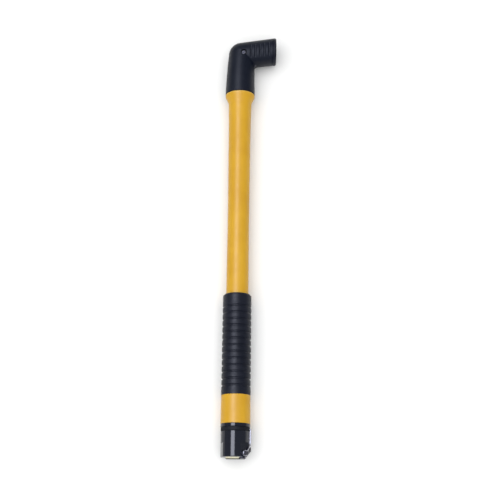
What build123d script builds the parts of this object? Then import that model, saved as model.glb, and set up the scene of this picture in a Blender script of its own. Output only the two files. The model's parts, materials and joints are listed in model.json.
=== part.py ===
"""Hand tow bar for a light aircraft: elbow head with a tow socket, sleeved bar, ribbed grip, screw cap.

The bar lies on its side. Its long axis is parallel to Y, with the head at +Y and the cap at -Y,
and the head's arm points to +X. Distances along the bar are measured from the cap's end.
"""
from build123d import *
import math
import os

# ---- driving dimensions, mm and degrees ----
# stations along the bar, from the cap's end
CAP_TOP = 29.5
SEAL_TOP = 34.2
COLLAR_TOP = 37.8
BAND_TOP = 69.6
GRIP_TOP = 184.4
FLARE_START = 414.0
HEAD_RIM = 430.1
SHOULDER = 463.7
ELBOW = 482.0

# outer radii along the bar
CAP_R = 16.15
COLLAR_R = 16.6
SEAL_R = 16.2
BAND_R_LOW = 16.55
BAND_R_HIGH = 16.3
GRIP_R_LOW = 16.3
GRIP_R_HIGH = 16.1
SLEEVE_R_GRIP = 12.65
SLEEVE_R_WAIST = 12.4
SLEEVE_R_HEAD = 13.5
HEAD_BASE_R = 17.45
SHOULDER_R = 16.45
ELBOW_R = 15.7
MOUTH_R = 16.35

# the inside of the bar
CORE_R = 9.5
CORE_BORE_R = 8.0
CORE_TOP = 436.0
WAIST = 275.0
SLIP = 0.05

# grip
GROOVES = 13
GROOVE_PITCH = 7.49
FIRST_GROOVE = BAND_TOP + 10.2
GROOVE_WIDTH = 2.4
GROOVE_DEPTH = 1.0
LAND_BULGE = 0.2
GRIP_SHOULDER = 1.7

# head: the outer side slants in, so the elbow's centre lies off the bar's axis
SHOULDER_X = 0.55
ELBOW_X = 1.4
ARM_ANGLE = 8.0
SPIGOT_R = 12.4
SPIGOT_TOP = 462.0

# the arm's end and its rib slots are parallel to the bar, and placed by their distance from its axis
ARM_END = 38.9
MOUTH_END = 42.9
ARM_CONE = 41.0
MOUTH_ROUND = 2.2
RIB_SLOTS = 5
RIB_PITCH = 5.45
FIRST_RIB_SLOT = 12.3
RIB_SLOT_WIDTH = 2.7
RIB_FLOOR = 13.8
RIB_TURN = 7.0
WEB_X = 17.0
WEB_SIZE = 2.2
WEB_THICK = 9.0

# tow socket, measured along the arm from the elbow's centre
BUSH_R = 11.5
BUSH_START = 12.0
BUSH_END = 39.0
SOCKET_R = 10.0
SOCKET_FLOOR = 23.0
NOSE_R = 6.0
NOSE_FLOOR = 15.0
TANG_START = -3.0
TANG_WIDTH = 12.0
TANG_THICK = 6.0

# cross screw that holds the socket's tang, off the elbow's centre
SCREW_ALONG = 2.2
SCREW_ASIDE = -2.2
SCREW_R = 2.0
SCREW_HEAD_R = 2.6
SCREW_HEAD_HEIGHT = 2.2
SCREW_SEAT_R = 3.5
SCREW_SEAT_Z = 12.9
NUT_FLAT = 7.0
NUT_THICK = 3.0

# ball detent in the socket's nose bore
DETENT_ALONG = 19.0
BALL_R = 2.0
BALL_DROP = 7.3
LIP_R = 1.85
LIP_DEPTH = 6.35
SPRING_TOP = 9.35
PLUG_TOP = 13.9
PLUG_BOTTOM = 15.9
PLUG_R = 2.4
SPRING_WIRE = 0.25

# screw cap
CAP_BORE_R = 12.1
CAP_FLOOR = 7.0
NECK_R = 12.0
NECK_END = 17.5
NECK_BORE_R = 5.0
INSERT_TOP = 62.0
CAP_END = 1.2
FLATS = 3
FLAT_TURN = 43.0
FLAT_R = 15.1
FLAT_LENGTH = 17.0

# the cap's end: a pale plate let into its face, a thumb screw, a corner cut off, and a low lip
PLATE_LEFT = -10.2
PLATE_RIGHT = 4.4
PLATE_LOW = -4.2
PLATE_HIGH = 9.2
PLATE_THICK = 1.8
PLATE_PROUD = 0.4
THUMB_X = 8.4
THUMB_Z = 0.5
THUMB_R = 3.2
THUMB_LOBES = 8
THUMB_THICK = 2.0
CUT_AT_END = 12.4
CUT_SLANT = 35.0
END_LIP_LEFT = -10.5
END_LIP_RIGHT = 11.3
END_LIP_LOW = -8.5
END_LIP_HIGH = -4.8
END_LIP_THICK = 2.4

# lug on the cap's side, beside the hook
LUG_REACH = 17.4
LUG_LOW = 5.8
LUG_HIGH = 12.6
LUG_WIDTH = 5.5
LUG_Z = -1.5

# wire hook on one of the cap's flats
HOOK_STATION = 5.2
WIRE_R = 0.8
EYE_R = 2.6
SIDE_TURN = 75.0
SHANK_BEND = 14.6
SHANK_TIP = 31.4
WASHER_THICK = 0.5
HOOK_SCREW_R = 1.5
HOOK_SCREW_HEAD_R = 2.3

# ---- frame: the origin is under the middle of the object, on the surface that it lies on ----
ARM_RAD = math.radians(ARM_ANGLE)
CORNER_RISE = (MOUTH_END - MOUTH_ROUND - ELBOW_X) * math.tan(ARM_RAD)
CORNER_ASIDE = (MOUTH_R - MOUTH_ROUND) / math.cos(ARM_RAD)
FAR_EDGE = ELBOW + CORNER_RISE + CORNER_ASIDE + MOUTH_ROUND
MIDDLE_X = (MOUTH_END - HEAD_BASE_R) / 2
MIDDLE_Y = FAR_EDGE / 2
PLACE = Pos(-MIDDLE_X, -MIDDLE_Y, HEAD_BASE_R)
ARM = Pos(ELBOW_X, ELBOW, 0) * Rot(0, 0, ARM_ANGLE)


# ---- helpers ----
def rod(radius, start, end):
    """A cylinder on the bar's axis between two stations."""
    return Pos(0, (start + end) / 2, 0) * Rot(-90, 0, 0) * Cylinder(radius, end - start)


def ring(outer, inner, start, end):
    """A plain ring on the bar's axis."""
    return rod(outer, start, end) - rod(inner, start - 1, end + 1)


def arm_rod(radius, start, end):
    """A cylinder on the arm's axis, in the arm's own frame."""
    return Pos((start + end) / 2, 0, 0) * Rot(0, 90, 0) * Cylinder(radius, end - start)


def turned(profile):
    """Turn a closed outline about the bar's axis. Its x is the radius and its y the station."""
    return revolve(make_face(profile), Axis.Y)


def upright_section(radius, x, station):
    """A round section of the head's upright."""
    plane = Plane(origin=(x, station, 0), x_dir=(1, 0, 0), z_dir=(0, 1, 0))
    return plane * Circle(radius)


def cross_hole(radius, low, high):
    """A cylinder along Z at the cross screw, in the arm's own frame."""
    return Pos(SCREW_ALONG, SCREW_ASIDE, (low + high) / 2) * Cylinder(radius, high - low)


def detent_hole(radius, top, bottom):
    """A cylinder below the arm's axis at the detent, between two depths."""
    return Pos(DETENT_ALONG, 0, -(top + bottom) / 2) * Cylinder(radius, bottom - top)


# ---- head ----
def beyond(x):
    """Everything on the arm's side of a plane parallel to the bar."""
    return Pos(x + 50, ELBOW, 0) * Box(100, 100, 100)


def head_shell():
    """Moulded elbow: a skewed upright, a ball at the corner and an arm with slotted sides."""
    sections = [
        upright_section(HEAD_BASE_R, 0, HEAD_RIM + 0.5),
        upright_section(SHOULDER_R, SHOULDER_X, SHOULDER),
        upright_section(ELBOW_R, ELBOW_X, ELBOW),
    ]
    corner = ARM * Sphere(ELBOW_R)
    arm = ARM * Pos(ARM_CONE / 2, 0, 0) * Rot(0, 90, 0) * Cone(ELBOW_R, MOUTH_R, ARM_CONE)
    arm = arm - beyond(ARM_END)
    arm = chamfer(arm.edges().group_by(Axis.X)[-1], 0.5)
    shell = corner + arm + inner_web() + loft(sections)
    shell -= rod(SPIGOT_R + SLIP, HEAD_RIM - 1, SPIGOT_TOP + SLIP)
    shell -= ARM * arm_rod(BUSH_R + SLIP, BUSH_START - SLIP, 60)
    shell -= ARM * tang(SLIP)
    shell -= ARM * cross_hole(SCREW_R + SLIP, -20, 20)
    shell -= ARM * cross_hole(SCREW_SEAT_R, SCREW_SEAT_Z, 20)
    nut_pocket = extrude(RegularPolygon(NUT_FLAT / 2 + SLIP, 6, major_radius=False), 10)
    shell -= ARM * Pos(SCREW_ALONG, SCREW_ASIDE, -SCREW_SEAT_Z - 10) * nut_pocket
    shell -= ARM * detent_hole(PLUG_R + SLIP, PLUG_TOP - SLIP, 20)
    shell -= ARM * detent_hole(BALL_R + SLIP, 10, 15)
    for turn in (RIB_TURN, 180 - RIB_TURN):
        shell -= rib_slots(turn)
    return shell


def inner_web():
    """Small web with a hollow edge in the elbow's inner corner."""
    corner = (WEB_X, ELBOW + (WEB_X - ELBOW_X) * math.tan(ARM_RAD) - ELBOW_R - 0.3)
    block = Pos(corner[0], corner[1], 0) * Box(2 * WEB_SIZE, 2 * WEB_SIZE, WEB_THICK)
    hollow = Pos(corner[0] + WEB_SIZE, corner[1] - WEB_SIZE, 0) * Cylinder(WEB_SIZE, 20)
    return block - hollow


def rib_slots(turn):
    """Slots across one side of the arm, with round floors, that leave the ribs between them."""
    half = RIB_SLOT_WIDTH / 2
    cutters = []
    for number in range(RIB_SLOTS):
        x = FIRST_RIB_SLOT + number * RIB_PITCH
        middle = Pos(x, ELBOW + (x - ELBOW_X) * math.tan(ARM_RAD), 0) * Rot(turn, 0, 0)
        floor = Pos(0, 0, RIB_FLOOR + half) * Rot(90, 0, 0) * Cylinder(half, 30)
        above = Pos(0, 0, RIB_FLOOR + half + 5) * Box(RIB_SLOT_WIDTH, 30, 10)
        cutters.append(middle * (floor + above))
    return Compound(children=cutters)


def tang(clearance=0.0):
    """The flat tongue behind the socket, grown by a clearance."""
    length = BUSH_START - TANG_START
    middle = Pos(TANG_START + length / 2, 0, 0)
    return middle * Box(length + 2 * clearance, TANG_WIDTH + 2 * clearance, TANG_THICK + 2 * clearance)


def socket_bush():
    """Steel socket: a wide mouth for the tow pin's body and a narrow bore for its nose."""
    bush = arm_rod(BUSH_R, BUSH_START, BUSH_END) + tang()
    bush -= arm_rod(SOCKET_R, SOCKET_FLOOR, BUSH_END + 1)
    bush -= arm_rod(NOSE_R, NOSE_FLOOR, BUSH_END)
    bush -= cross_hole(SCREW_R + SLIP, -10, 10)
    bush -= detent_hole(LIP_R, 5, 15)
    bush -= detent_hole(BALL_R + SLIP, LIP_DEPTH, 15)
    return ARM * bush


def mouth_ring():
    """Buffer ring round the socket's mouth, with a rounded front."""
    outline = ARM * arm_rod(MOUTH_R, 30, 60) - beyond(MOUTH_END)
    front = outline.edges().group_by(Axis.X)[-1]
    outline = fillet(front, MOUTH_ROUND) & beyond(ARM_END + SLIP)
    back = outline.edges().group_by(Axis.X)[0]
    outline = chamfer(back, 0.4)
    return outline - ARM * arm_rod(BUSH_R + SLIP, 20, 60)


def head_screw():
    """Cross screw, with its slotted head in the round seat on the elbow."""
    top = SCREW_SEAT_Z + SCREW_HEAD_HEIGHT
    head = cross_hole(SCREW_HEAD_R, SCREW_SEAT_Z, top)
    head = fillet(head.edges().group_by(Axis.Z)[-1], 0.8)
    slot = Pos(SCREW_ALONG, SCREW_ASIDE, top) * Rot(0, 0, 35) * Box(8, 0.7, 1.4)
    shank = cross_hole(SCREW_R, -SCREW_SEAT_Z - NUT_THICK, SCREW_SEAT_Z)
    return ARM * (head - slot + shank)


def head_nut():
    """Hexagon nut in its pocket on the other side of the elbow."""
    nut = extrude(RegularPolygon(NUT_FLAT / 2, 6, major_radius=False), NUT_THICK)
    nut -= Cylinder(SCREW_R, 20)
    return ARM * Pos(SCREW_ALONG, SCREW_ASIDE, -SCREW_SEAT_Z - NUT_THICK) * nut


def detent_ball():
    """Ball that snaps into the groove of a tow pin's nose."""
    return ARM * Pos(DETENT_ALONG, 0, -BALL_DROP) * Sphere(BALL_R)


def detent_spring():
    """Small coil spring below the ball."""
    height = PLUG_TOP - SPRING_TOP - 2 * SPRING_WIRE
    coil_r = BALL_R - 0.2 - SPRING_WIRE
    path = Helix(pitch=height / 4, height=height, radius=coil_r)
    section = Plane(origin=path @ 0, z_dir=path % 0) * Circle(SPRING_WIRE)
    coil = sweep(section, path=path, is_frenet=True)
    return ARM * Pos(DETENT_ALONG, 0, -PLUG_TOP + SPRING_WIRE) * coil


def detent_plug():
    """Slotted grub screw that closes the detent's hole."""
    plug = detent_hole(PLUG_R, PLUG_TOP, PLUG_BOTTOM)
    plug -= Pos(DETENT_ALONG, 0, -PLUG_BOTTOM) * Box(8, 0.8, 1.4)
    return ARM * plug


def head_spigot():
    """Aluminium plug in the core tube, with a grooved boss that the head is moulded on."""
    spigot = rod(CORE_BORE_R - SLIP, 398, CORE_TOP) + rod(SPIGOT_R, CORE_TOP, SPIGOT_TOP)
    for station in (444, 452):
        spigot -= ring(SPIGOT_R + 1, SPIGOT_R - 1, station, station + 2.5)
    for station in (408, 424):
        spigot -= pin_hole(station)
    return spigot


def pin_hole(station):
    """The hole of a spigot pin, along X."""
    return Pos(0, station, 0) * Rot(0, 90, 0) * Cylinder(1.5 + SLIP, 40)


def spigot_pins():
    """Two pins that lock the spigot in the core tube."""
    pins = []
    for station in (408, 424):
        pins.append(Pos(0, station, 0) * Rot(0, 90, 0) * Cylinder(1.5, 2 * CORE_R - 0.4))
    return Compound(children=pins)


def head_seal():
    """Flat rubber washer between the sleeve's flare and the head."""
    return ring(HEAD_BASE_R - 0.5, SPIGOT_R + 0.6, HEAD_RIM - 0.3, HEAD_RIM + 0.5)


# ---- bar ----
def core_tube():
    """Aluminium tube that carries the load, drilled for the pins at both ends."""
    tube = ring(CORE_R, CORE_BORE_R, SEAL_TOP, CORE_TOP)
    for station in (408, 424, 46, 54):
        tube -= pin_hole(station)
    return tube


def bar_sleeve():
    """Moulded sleeve: slightly waisted, and flared out to the head's rim."""
    flare_end = HEAD_RIM - 0.3
    rim = HEAD_BASE_R - 0.05
    inner = CORE_R + SLIP
    waist = Spline(
        (SLEEVE_R_GRIP, GRIP_TOP),
        (SLEEVE_R_WAIST, WAIST),
        (12.72, 345),
        (SLEEVE_R_HEAD, FLARE_START),
        tangents=[(0, 1), (0.03, 1)],
    )
    flare = Spline(
        (SLEEVE_R_HEAD, FLARE_START),
        (13.75, 419.0),
        (15.1, 422.8),
        (16.7, 426.0),
        (rim, 428.7),
        tangents=[(0.03, 1), (0.05, 1)],
    )
    rest = Polyline(
        (rim, 428.7),
        (rim, flare_end - 0.5),
        (rim - 0.5, flare_end),
        (inner, flare_end),
        (inner, BAND_TOP),
        (SLEEVE_R_GRIP, BAND_TOP),
        (SLEEVE_R_GRIP, GRIP_TOP),
    )
    return turned(waist + flare + rest)


def grip_skin(station):
    """The grip's outer radius where no groove is."""
    share = (station - BAND_TOP) / (GRIP_TOP - BAND_TOP)
    return GRIP_R_LOW + (GRIP_R_HIGH - GRIP_R_LOW) * share


def grip():
    """Rubber grip: a smooth collar at its upper end, and narrow grooves between bulged lands."""
    inner = SLEEVE_R_GRIP + SLIP
    half = GROOVE_WIDTH / 2
    shoulder = GRIP_R_HIGH - GRIP_SHOULDER
    here = (GRIP_R_LOW, BAND_TOP)
    outline = Line((inner, BAND_TOP), here)
    for number in range(GROOVES):
        station = FIRST_GROOVE + number * GROOVE_PITCH
        low = (grip_skin(station - half), station - half)
        floor = (grip_skin(station) - GROOVE_DEPTH, station)
        high = (grip_skin(station + half), station + half)
        middle = (here[1] + low[1]) / 2
        outline += ThreePointArc(here, (grip_skin(middle) + LAND_BULGE, middle), low)
        outline += ThreePointArc(low, floor, high)
        here = high
    edge = (GRIP_R_HIGH, GRIP_TOP - GRIP_SHOULDER)
    outline += Line(here, edge)
    outline += RadiusArc(edge, (shoulder, GRIP_TOP), GRIP_SHOULDER)
    outline += Polyline((shoulder, GRIP_TOP), (inner, GRIP_TOP), (inner, BAND_TOP))
    return turned(outline)


def tail_band():
    """Moulded band between the grip and the cap, with softened edges."""
    middle = Pos(0, (COLLAR_TOP + BAND_TOP) / 2, 0)
    band = middle * Rot(-90, 0, 0) * Cone(BAND_R_LOW, BAND_R_HIGH, BAND_TOP - COLLAR_TOP)
    band = fillet(band.edges(), 0.5)
    band -= rod(CORE_R + SLIP, 0, 100)
    return band


# ---- tail ----
def tail_insert():
    """Aluminium insert pinned in the core tube, with the neck that the cap screws on."""
    insert = rod(CORE_BORE_R - SLIP, SEAL_TOP, INSERT_TOP) + rod(NECK_R, NECK_END, SEAL_TOP)
    insert = insert - rod(NECK_BORE_R, 0, 100)
    for station in (46, 54):
        insert -= pin_hole(station)
    return insert


def insert_pins():
    """Short pins through the tube's wall and the insert's wall, on both sides."""
    pins = []
    for station in (46, 54):
        for side in (-1, 1):
            length = CORE_R - 0.2 - NECK_BORE_R - 0.5
            middle = side * (CORE_R - 0.2 - length / 2)
            pins.append(Pos(middle, station, 0) * Rot(0, 90, 0) * Cylinder(1.5, length))
    return Compound(children=pins)


def tail_collar():
    """Gloss collar that the cap's seal closes against."""
    collar = rod(COLLAR_R, SEAL_TOP, COLLAR_TOP)
    collar = fillet(collar.edges(), 0.4)
    return collar - rod(CORE_R + SLIP, 0, 100)


def cap_seal():
    """Rubber ring in the groove between the collar and the cap."""
    seal = rod(SEAL_R, CAP_TOP + 0.1, SEAL_TOP - 0.1)
    seal = fillet(seal.edges(), 0.7)
    return seal - rod(NECK_R + 0.4, 0, 100)


def flat_frame(number):
    """Frame on one of the cap's flats: Z out of the flat, Y along the bar."""
    turn = FLAT_TURN - number * 360 / FLATS
    return Pos(0, HOOK_STATION, 0) * Rot(0, turn, 0) * Pos(0, 0, FLAT_R)


def end_cap():
    """Gloss cup with three short flats, a side lug, a cut corner and a recessed end face."""
    cap = rod(CAP_R, CAP_END, CAP_TOP)
    cap = fillet(cap.edges().group_by(Axis.Y)[0], 0.9)
    cap = fillet(cap.edges().group_by(Axis.Y)[-1], 0.5)
    for number in range(FLATS):
        cutter = Pos(0, FLAT_LENGTH / 2 - 5 - HOOK_STATION, 5) * Box(30, FLAT_LENGTH + 10, 10)
        cap -= flat_frame(number) * cutter
    cap += side_lug()
    corner = Pos(CUT_AT_END, CAP_END, 0) * Rot(0, 0, -CUT_SLANT) * Pos(10, 0, 0)
    cap -= corner * Box(20, 60, 60)
    cap += end_lip()
    cap -= rod(CAP_BORE_R, CAP_FLOOR, CAP_TOP + 1)
    cap -= plate_block(SLIP)
    cap -= Pos(THUMB_X, 0, THUMB_Z) * (rod(THUMB_R + 0.25, 0, THUMB_THICK + SLIP) + rod(1.5 + SLIP, 0, 6))
    cap -= flat_frame(0) * Cylinder(HOOK_SCREW_R + SLIP, 12)
    return cap


def side_lug():
    """Low lug with rounded edges, below the hook's shank."""
    lug = Box(5, LUG_HIGH - LUG_LOW, LUG_WIDTH)
    lug = fillet(lug.edges().group_by(Axis.X)[-1], 0.8)
    return Pos(LUG_REACH - 2.5, (LUG_LOW + LUG_HIGH) / 2, LUG_Z) * lug


def end_lip():
    """Low rounded lip across the cap's end, under the plate."""
    width = END_LIP_RIGHT - END_LIP_LEFT
    lip = Box(width, END_LIP_THICK, END_LIP_HIGH - END_LIP_LOW)
    lip = fillet(lip.edges().group_by(Axis.Y)[0], 1.0)
    middle = ((END_LIP_LEFT + END_LIP_RIGHT) / 2, (END_LIP_LOW + END_LIP_HIGH) / 2)
    return Pos(middle[0], END_LIP_THICK / 2, middle[1]) * lip


def plate_block(clearance=0.0):
    """The end plate, grown by a clearance at its sides and its back."""
    width = PLATE_RIGHT - PLATE_LEFT + 2 * clearance
    height = PLATE_HIGH - PLATE_LOW + 2 * clearance
    plate = Box(width, PLATE_THICK + clearance, height)
    plate = fillet(plate.edges().filter_by(Axis.Y), 1.2)
    front = CAP_END - PLATE_PROUD
    middle = ((PLATE_LEFT + PLATE_RIGHT) / 2, (PLATE_LOW + PLATE_HIGH) / 2)
    return Pos(middle[0], front + (PLATE_THICK + clearance) / 2, middle[1]) * plate


def end_plate():
    """Pale plate let into the cap's end face, standing slightly proud."""
    return plate_block()


def thumb_screw():
    """Small lobed screw beside the plate."""
    head = rod(THUMB_R, 0, THUMB_THICK)
    for number in range(THUMB_LOBES):
        angle = math.radians(number * 360 / THUMB_LOBES)
        head -= Pos(THUMB_R * math.cos(angle), 0, THUMB_R * math.sin(angle)) * rod(0.55, -1, 3)
    return Pos(THUMB_X, 0, THUMB_Z) * (head + rod(1.5, 0.5, 5.5))


# ---- wire hook ----
def hook():
    """Wire hook: an eye on its screw, and a shank that leaves it straight and lies along the cap."""
    lift = WASHER_THICK + 0.1 + WIRE_R
    eye = Pos(0, 0, lift) * Torus(EYE_R, WIRE_R)
    turn = math.radians(SIDE_TURN - FLAT_TURN)
    reach = CAP_R + WIRE_R + 0.25
    side_x = reach * math.sin(turn)
    side_z = reach * math.cos(turn) - FLAT_R
    lean = math.radians(44)
    route = [
        (EYE_R * math.sin(lean), EYE_R * math.cos(lean), lift),
        (7.5 * math.sin(lean), 7.5 * math.cos(lean), lift),
        (side_x, SHANK_BEND - HOOK_STATION, side_z),
        (side_x, SHANK_TIP - HOOK_STATION, side_z),
    ]
    path = FilletPolyline(*route, radius=[3.0, 4.5])
    shank = sweep(Plane(origin=path @ 0, z_dir=path % 0) * Circle(WIRE_R), path=path)
    end = Pos(path @ 1) * Sphere(WIRE_R)
    return flat_frame(0) * (eye + shank + end)


def hook_washer():
    """Thin washer under the hook's eye."""
    washer = Cylinder(3.2, WASHER_THICK) - Cylinder(HOOK_SCREW_R + SLIP, 2)
    return flat_frame(0) * Pos(0, 0, WASHER_THICK / 2) * washer


def hook_screw():
    """Shouldered screw on which the hook swings."""
    head_low = WASHER_THICK + 2 * WIRE_R + 0.2
    head = Pos(0, 0, head_low + 0.5) * Cylinder(HOOK_SCREW_HEAD_R, 1.0)
    head = fillet(head.edges().group_by(Axis.Z)[-1], 0.4)
    head -= Pos(0, 0, head_low + 1.0) * Box(6, 0.6, 0.8)
    shank = Pos(0, 0, (head_low - 5.8) / 2) * Cylinder(HOOK_SCREW_R, head_low + 5.8)
    return flat_frame(0) * (head + shank)


NODES = {
    "head_shell": head_shell,
    "socket_bush": socket_bush,
    "mouth_ring": mouth_ring,
    "head_screw": head_screw,
    "head_nut": head_nut,
    "detent_ball": detent_ball,
    "detent_spring": detent_spring,
    "detent_plug": detent_plug,
    "head_spigot": head_spigot,
    "spigot_pins": spigot_pins,
    "head_seal": head_seal,
    "core_tube": core_tube,
    "bar_sleeve": bar_sleeve,
    "grip": grip,
    "tail_band": tail_band,
    "tail_insert": tail_insert,
    "insert_pins": insert_pins,
    "tail_collar": tail_collar,
    "cap_seal": cap_seal,
    "end_cap": end_cap,
    "end_plate": end_plate,
    "thumb_screw": thumb_screw,
    "hook": hook,
    "hook_washer": hook_washer,
    "hook_screw": hook_screw,
}

os.makedirs("parts", exist_ok=True)
for name, make in NODES.items():
    export_step(PLACE * make(), "parts/" + name + ".step")
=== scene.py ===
"""Looks for the hand tow bar: materials, light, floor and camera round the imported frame."""

import json
import math

import bpy
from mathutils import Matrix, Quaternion, Vector

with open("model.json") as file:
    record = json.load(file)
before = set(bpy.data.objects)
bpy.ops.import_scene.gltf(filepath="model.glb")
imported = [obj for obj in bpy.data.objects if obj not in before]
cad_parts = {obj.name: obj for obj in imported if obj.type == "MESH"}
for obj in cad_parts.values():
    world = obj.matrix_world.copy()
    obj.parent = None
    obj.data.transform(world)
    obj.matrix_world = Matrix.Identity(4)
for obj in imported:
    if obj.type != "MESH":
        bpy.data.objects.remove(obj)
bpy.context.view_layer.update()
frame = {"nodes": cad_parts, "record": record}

# ---- camera: distance and angles that give the wanted view, in metres and degrees ----
CAMERA_ELEVATION = 74.5
CAMERA_DISTANCE = 1.298
CAMERA_ROLL = 0.66
VIEW_WIDTH = 0.5772
SENSOR = 36.0
AIM = Vector((0.0012, -0.0140, 0.0174))

# ---- colours, scene linear ----
YELLOW = (0.62, 0.345, 0.018)
YELLOW_DEEP = (0.57, 0.305, 0.013)
# paler yellow painted on convex edges as a highlight
YELLOW_EDGE_HIGHLIGHT = (0.85, 0.66, 0.22)
BLACK = (0.0010, 0.0030, 0.0105)
BLACK_WORN = (0.006, 0.009, 0.018)
RUBBER = (0.0035, 0.0050, 0.0115)
RUBBER_WORN = (0.010, 0.012, 0.023)
GLOSS = (0.004, 0.005, 0.012)
SEAL = (0.003, 0.004, 0.007)
SEAL_DUSTY = (0.009, 0.010, 0.014)
CREAM = (0.78, 0.74, 0.52)
CREAM_AGED = (0.72, 0.66, 0.42)
STEEL = (0.55, 0.56, 0.58)
BRIGHT = (0.44, 0.44, 0.50)
ALUMINIUM = (0.72, 0.73, 0.75)
DARK_STEEL = (0.10, 0.10, 0.12)
METAL_SHADE = 0.8
FLOOR = (0.93, 0.93, 0.93)
FLOOR_SHADE = 0.985

# ---- stage: places and sizes in metres, power in watts ----
FLOOR_SIZE = 8
MIDDLE = (0, 0, 0.017)
TOP_PLACE = (-0.3, -0.3, 2.2)
TOP_SIZE = (4.0, 4.0)
TOP_POWER = 86
TOP_COLOUR = (1.0, 0.99, 0.97)
STRIP_PLACE = (-0.39, 0.0, 1.15)
STRIP_SIZE = (1.6, 0.60)
STRIP_POWER = 26
STRIP_COLOUR = (0.84, 0.87, 1.0)
ROOM_COLOUR = (0.94, 0.97, 1.0)
ROOM_LIGHT = 0.42


# ---- node helpers ----
class Shader:
    """A Principled material with object coordinates in metres, built up by its methods."""

    def __init__(self, name):
        self.material = bpy.data.materials.new(name)
        self.material.use_nodes = True
        self.nodes = self.material.node_tree.nodes
        self.links = self.material.node_tree.links
        self.surface = self.nodes["Principled BSDF"]
        self.place = self.nodes.new("ShaderNodeTexCoord").outputs["Object"]
        self.bumped = None

    def set(self, **values):
        """Set plain values on the shader's own sockets."""
        for name, value in values.items():
            self.surface.inputs[name.replace("_", " ")].default_value = value

    def noise(self, scale, detail=3.0, roughness=0.5, stretch=None):
        """Noise of a given number of cells a metre, stretched along an axis if asked."""
        node = self.nodes.new("ShaderNodeTexNoise")
        node.inputs["Scale"].default_value = scale
        node.inputs["Detail"].default_value = detail
        node.inputs["Roughness"].default_value = roughness
        place = self.place
        if stretch:
            mapping = self.nodes.new("ShaderNodeMapping")
            mapping.inputs["Scale"].default_value = stretch
            self.links.new(self.place, mapping.inputs["Vector"])
            place = mapping.outputs["Vector"]
        self.links.new(place, node.inputs["Vector"])
        return node.outputs["Fac"]

    def ranged(self, source, low, high, start=0.35, end=0.65):
        """Map a source from one range to another, clamped."""
        node = self.nodes.new("ShaderNodeMapRange")
        node.inputs["From Min"].default_value = start
        node.inputs["From Max"].default_value = end
        node.inputs["To Min"].default_value = low
        node.inputs["To Max"].default_value = high
        self.links.new(source, node.inputs["Value"])
        return node.outputs["Result"]

    def mixed(self, share, first, second):
        """Mix two colours by a share from 0 to 1. Each may be a socket or a plain colour."""
        node = self.nodes.new("ShaderNodeMix")
        node.data_type = "RGBA"
        self.links.new(share, node.inputs["Factor"])
        for name, colour in (("A", first), ("B", second)):
            socket = [s for s in node.inputs if s.name == name and s.type == "RGBA"][0]
            if isinstance(colour, tuple):
                socket.default_value = (*colour, 1.0)
            else:
                self.links.new(colour, socket)
        return [s for s in node.outputs if s.type == "RGBA"][0]

    def edges(self):
        """A share that is high on convex edges: rubbed wear on the head, a painted highlight
        on the yellow plastic.
        """
        node = self.nodes.new("ShaderNodeNewGeometry")
        return self.ranged(node.outputs["Pointiness"], 0.0, 1.0, 0.52, 0.62)

    def colour(self, socket):
        self.links.new(socket, self.surface.inputs["Base Color"])

    def rough(self, socket):
        self.links.new(socket, self.surface.inputs["Roughness"])

    def bump(self, source, depth):
        """Add a layer of bump, with its depth in metres."""
        node = self.nodes.new("ShaderNodeBump")
        node.inputs["Strength"].default_value = 1.0
        node.inputs["Distance"].default_value = depth
        self.links.new(source, node.inputs["Height"])
        if self.bumped:
            self.links.new(self.bumped, node.inputs["Normal"])
        self.bumped = node.outputs["Normal"]
        self.links.new(self.bumped, self.surface.inputs["Normal"])


# ---- materials ----
def yellow_plastic():
    """Moulded yellow: faint mottling, a painted highlight along convex edges and rims, soft
    sheen, a very fine orange peel.
    """
    s = Shader("yellow_plastic")
    s.set(Specular_IOR_Level=0.3)
    mottle = s.ranged(s.noise(35, 4), 0.0, 1.0)
    base = s.mixed(mottle, YELLOW, YELLOW_DEEP)
    # painted highlight: convex edges and rims are mixed to a paler yellow, in place of light
    # caught on the edges
    s.colour(s.mixed(s.edges(), base, YELLOW_EDGE_HIGHLIGHT))
    s.rough(s.ranged(s.noise(220, 3), 0.34, 0.46))
    s.bump(s.noise(900, 2), 0.00002)
    s.bump(s.noise(120, 2), 0.00005)
    return s.material


def head_plastic():
    """Satin black moulding with a fine spark-eroded grain and rubbed edges."""
    s = Shader("head_plastic")
    s.set(Specular_IOR_Level=0.22)
    cloud = s.ranged(s.noise(60, 5), 0.0, 0.35)
    base = s.mixed(cloud, BLACK, BLACK_WORN)
    s.colour(s.mixed(s.edges(), base, BLACK_WORN))
    s.rough(s.ranged(s.noise(300, 3), 0.36, 0.5))
    s.bump(s.noise(2600, 2), 0.00003)
    return s.material


def grip_rubber():
    """Dense black rubber: fine pits, and paler patches where hands have rubbed it."""
    s = Shader("grip_rubber")
    s.set(Specular_IOR_Level=0.2)
    handled = s.ranged(s.noise(50, 5, stretch=(1, 0.4, 1)), 0.0, 0.6)
    s.colour(s.mixed(handled, RUBBER, RUBBER_WORN))
    s.rough(s.ranged(s.noise(260, 4), 0.34, 0.5))
    s.bump(s.noise(1800, 3), 0.00004)
    return s.material


def cap_plastic():
    """Gloss black moulding with a slight swirl of fine handling marks."""
    s = Shader("cap_plastic")
    s.set(Specular_IOR_Level=0.35, Coat_Weight=0.15, Coat_Roughness=0.05)
    s.colour(s.mixed(s.ranged(s.noise(90, 4), 0.0, 0.5), GLOSS, BLACK_WORN))
    marks = s.noise(900, 4, stretch=(1, 0.06, 1))
    s.rough(s.ranged(marks, 0.09, 0.17, 0.4, 0.75))
    s.bump(s.noise(140, 2), 0.00001)
    return s.material


def seal_rubber():
    """Dull soft rubber."""
    s = Shader("seal_rubber")
    s.colour(s.mixed(s.noise(400, 3), SEAL, SEAL_DUSTY))
    s.set(Roughness=0.6, Specular_IOR_Level=0.15)
    s.bump(s.noise(2200, 3), 0.00005)
    return s.material


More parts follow.
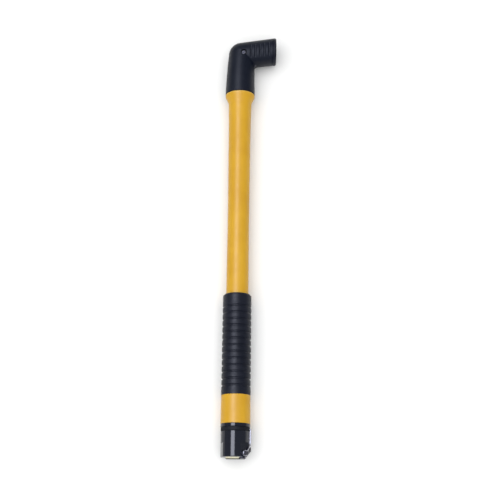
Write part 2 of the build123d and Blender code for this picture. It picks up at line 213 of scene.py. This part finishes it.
def plate_plastic():
    """Pale cream plastic, a little yellowed."""
    s = Shader("plate_plastic")
    s.colour(s.mixed(s.ranged(s.noise(260, 3), 0.0, 1.0), CREAM, CREAM_AGED))
    s.rough(s.ranged(s.noise(700, 3), 0.35, 0.5))
    s.bump(s.noise(1500, 2), 0.00002)
    return s.material


def metal(name, colour, low, high, grain):
    """A metal with turning or drawing marks, stretched along one axis."""
    s = Shader(name)
    s.set(Metallic=1.0)
    shade = tuple(METAL_SHADE * c for c in colour)
    s.colour(s.mixed(s.ranged(s.noise(150, 4), 0.0, 1.0), colour, shade))
    marks = s.noise(1500, 3, stretch=grain)
    s.rough(s.ranged(marks, low, high))
    s.bump(marks, 0.000006)
    return s.material


def floor_white():
    """Plain matt floor with a trace of unevenness."""
    s = Shader("floor_white")
    shade = tuple(FLOOR_SHADE * c for c in FLOOR)
    s.colour(s.mixed(s.noise(6, 3), FLOOR, shade))
    s.set(Roughness=0.9, Specular_IOR_Level=0.15)
    return s.material


# stretch of the marks in a metal: drawn along the bar, or turned round it
ALONG = (1, 0.05, 1)
ROUND = (0.05, 1, 0.05)

MATERIALS = {
    "yellow_plastic": yellow_plastic(),
    "head_plastic": head_plastic(),
    "grip_rubber": grip_rubber(),
    "cap_plastic": cap_plastic(),
    "seal_rubber": seal_rubber(),
    "plate_plastic": plate_plastic(),
    "steel": metal("steel", STEEL, 0.22, 0.36, ROUND),
    "wire_steel": metal("wire_steel", BRIGHT, 0.10, 0.2, ALONG),
    "black_steel": metal("black_steel", DARK_STEEL, 0.3, 0.45, ROUND),
    "aluminium": metal("aluminium", ALUMINIUM, 0.24, 0.36, ALONG),
}


def dress_nodes():
    """Give every CAD node the procedural material of its slot."""
    for part in frame["record"]["subparts"]:
        piece = frame["nodes"][part["node"]]
        for index in range(len(piece.material_slots)):
            piece.material_slots[index].material = MATERIALS[part["material_slot"]]


# ---- stage ----
def make_floor():
    bpy.ops.mesh.primitive_plane_add(size=FLOOR_SIZE, location=(0, 0, 0))
    floor = bpy.context.object
    floor.name = "floor"
    floor.data.materials.append(floor_white())


def aimed(thing, place, target):
    thing.location = place
    thing.rotation_euler = (Vector(target) - Vector(place)).to_track_quat("-Z", "Y").to_euler()


def area_light(name, place, size, power, colour):
    """A soft box aimed at the object's middle. Its size is along the bar, then across it."""
    light = bpy.data.lights.new(name, "AREA")
    light.shape = "RECTANGLE"
    light.size, light.size_y = size
    light.energy = power
    light.color = colour
    lamp = bpy.data.objects.new(name, light)
    bpy.context.collection.objects.link(lamp)
    aimed(lamp, place, MIDDLE)
    return lamp


def make_light():
    """Broad soft light from above, a long box that only shows in the gloss, and a dim room."""
    top = area_light("broad_top", TOP_PLACE, TOP_SIZE, TOP_POWER, TOP_COLOUR)
    top.visible_glossy = False
    strip = area_light("strip_left", STRIP_PLACE, STRIP_SIZE, STRIP_POWER, STRIP_COLOUR)
    strip.visible_diffuse = False
    world = bpy.data.worlds.new("room")
    world.use_nodes = True
    background = world.node_tree.nodes["Background"].inputs
    background["Color"].default_value = (*ROOM_COLOUR, 1)
    background["Strength"].default_value = ROOM_LIGHT
    bpy.context.scene.world = world


def make_camera():
    data = bpy.data.cameras.new("camera")
    data.sensor_width = SENSOR
    data.lens = SENSOR * CAMERA_DISTANCE / VIEW_WIDTH
    camera = bpy.data.objects.new("camera", data)
    bpy.context.collection.objects.link(camera)
    rise = math.radians(CAMERA_ELEVATION)
    back = Vector((0, -math.cos(rise), math.sin(rise)))
    camera.location = AIM + back * CAMERA_DISTANCE
    turn = (-back).to_track_quat("-Z", "Y")
    camera.rotation_mode = "QUATERNION"
    camera.rotation_quaternion = turn @ Quaternion((0, 0, 1), math.radians(CAMERA_ROLL))
    bpy.context.scene.camera = camera


dress_nodes()
make_floor()
make_light()
make_camera()
bpy.context.scene.view_settings.view_transform = "Standard"
